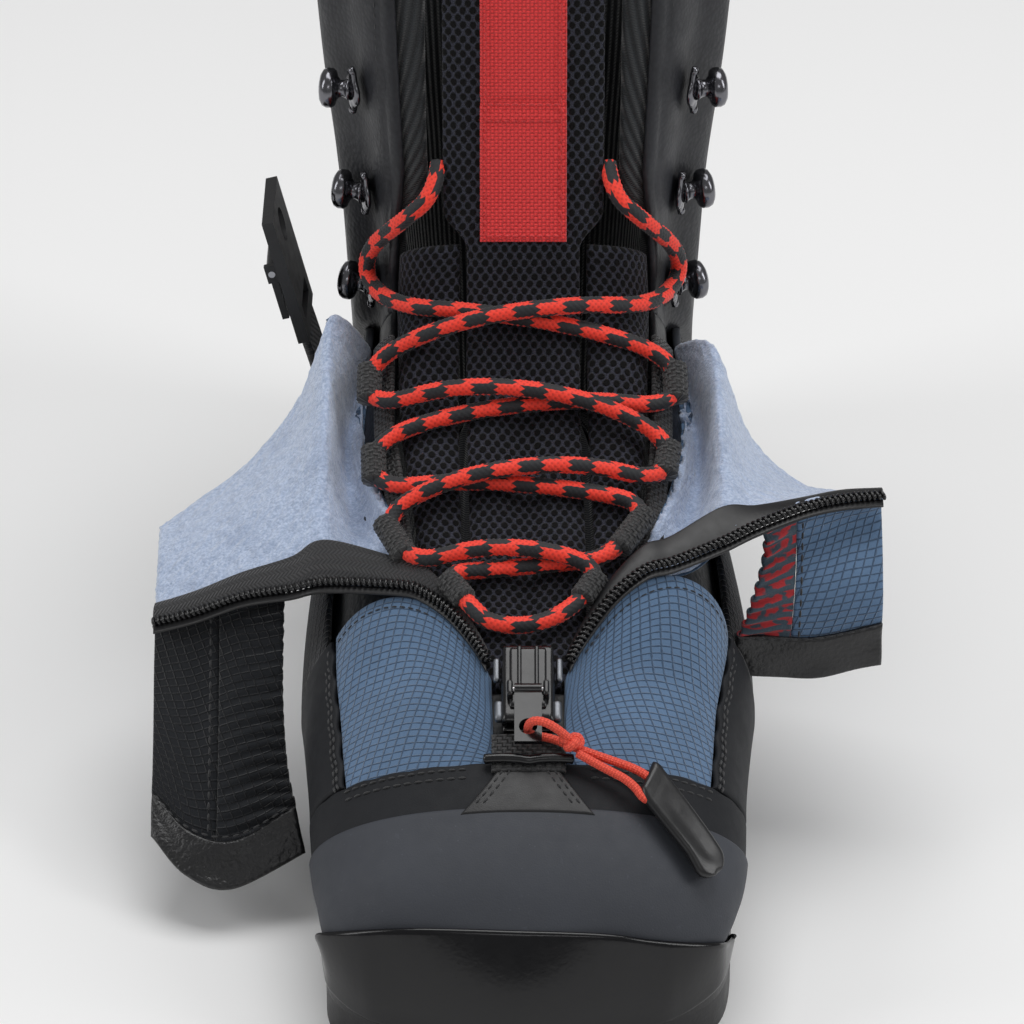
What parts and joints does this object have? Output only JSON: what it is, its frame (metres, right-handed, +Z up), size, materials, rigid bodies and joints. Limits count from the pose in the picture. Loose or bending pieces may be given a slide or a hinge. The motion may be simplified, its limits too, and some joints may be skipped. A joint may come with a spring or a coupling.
{
  "type": "cross country ski boot",
  "caption": "Backcountry cross country ski boot with a laced inner boot, padded tongue and an unzipped gaiter folded open.",
  "frame": {"origin": "on the sole's flat walking face, between the guide grooves", "axes": "+Z up, toe towards -Y, heel towards +Y, big toe side at -X"},
  "size_m": [0.183, 0.3008, 0.2148],
  "materials": {
    "softshell": "grid softshell",
    "overlay": "coated overlay",
    "zip": "coil zip on tape",
    "leather": "pebbled",
    "lining_knit": "knit lining",
    "mesh": "spacer mesh",
    "webbing_black": "woven webbing",
    "hook_metal": "black nickel",
    "fleece": "brushed fleece",
    "band": "shiny collar band",
    "sole_rubber": "gloss rubber",
    "midsole_foam": "moulded",
    "steel": "satin",
    "board": "fibre board",
    "rand_rubber": "matte",
    "slider_metal": "gloss black",
    "webbing_red": "basket weave",
    "lace": "braided, two colours",
    "cord_orange": "braided cord",
    "grip_rubber": "matte grip",
    "buckle_plastic": "moulded"
  },
  "bodies": {
    "boot": {"anchor_bar": "slider_metal", "anchor_tab": "webbing_black", "collar": "lining_knit", "cuff_left": "leather", "cuff_right": "leather", "eyestay_left": "leather", "eyestay_right": "leather", "footbed": "lining_knit", "gaiter_heel": "overlay", "gaiter_root_left": "fleece", "gaiter_root_right": "fleece", "gaiter_sides": "overlay", "heel_overlays": "overlay", "heel_pull_loop": "webbing_black", "hook_rivets": "hook_metal", "inner_vamp": "leather", "insole_board": "board", "lace": "lace", "lace_hooks": "hook_metal", "lace_loops": "webbing_black", "lining_left": "lining_knit", "lining_right": "lining_knit", "midsole": "midsole_foam", "outsole": "sole_rubber", "quarter_left": "leather", "quarter_right": "leather", "softshell_panel_left": "softshell", "softshell_panel_right": "softshell", "strap_rivet": "steel", "toe_bar": "steel", "toe_cap": "sole_rubber", "toe_lining": "lining_knit", "toe_patch": "overlay", "toe_rand": "rand_rubber", "tongue_centre": "mesh", "tongue_pads": "mesh", "vamp_front": "overlay", "vamp_overlays": "overlay", "zip_tapes": "zip"},
    "zip_slider": {"slider_body": "slider_metal", "pull_pin": "steel"},
    "zip_pull": {"pull_tab": "slider_metal", "pull_cord": "cord_orange", "pull_knot": "cord_orange", "pull_grip": "grip_rubber"},
    "tongue_upper": {"tongue_top": "mesh", "tongue_webbing": "webbing_red"},
    "flap_left": {"flap_fleece_left": "fleece", "flap_shell_left": "softshell", "collar_band_left": "band", "flap_zip_chain_left": "zip"},
    "flap_right": {"flap_fleece_right": "fleece", "flap_shell_right": "softshell", "collar_band_right": "band", "flap_zip_chain_right": "zip"},
    "ankle_strap": {"strap_webbing": "webbing_black", "buckle_frame": "buckle_plastic", "buckle_pin": "steel"},
    "buckle": {"buckle_lever": "buckle_plastic"}
  },
  "joints": [
    {"name": "zip_slide", "type": "slide", "parent": "boot", "child": "zip_slider", "axis": [0, 0.9055, 0.4243], "range_m": [0, 0.005]},
    {"name": "pull_tab_hinge", "type": "hinge", "parent": "zip_slider", "child": "zip_pull", "pos_m": [0.001, -0.09579, 0.07366], "axis": [-1, 0, 0], "range_deg": [0, 80]},
    {"name": "tongue_fold", "type": "hinge", "parent": "boot", "child": "tongue_upper", "pos_m": [0, 0.0199, 0.137], "axis": [1, 0, 0], "range_deg": [0, 20]},
    {"name": "flap_left_fold", "type": "hinge", "parent": "boot", "child": "flap_left", "pos_m": [-0.0488, -0.015, 0.097], "axis": [0, 0.8894, 0.4572], "range_deg": [0, 45]},
    {"name": "flap_right_fold", "type": "hinge", "parent": "boot", "child": "flap_right", "pos_m": [0.0488, -0.015, 0.098], "axis": [0, -0.8894, -0.4572], "range_deg": [0, 45]},
    {"name": "strap_swing", "type": "hinge", "parent": "boot", "child": "ankle_strap", "pos_m": [-0.0486, 0.046, 0.064], "axis": [-0.9703, 0, -0.2419], "range_deg": [0, 30]},
    {"name": "buckle_open", "type": "hinge", "parent": "ankle_strap", "child": "buckle", "pos_m": [-0.06506, 0.046, 0.11555], "axis": [0, 1, 0], "range_deg": [0, 80]}
  ]
}
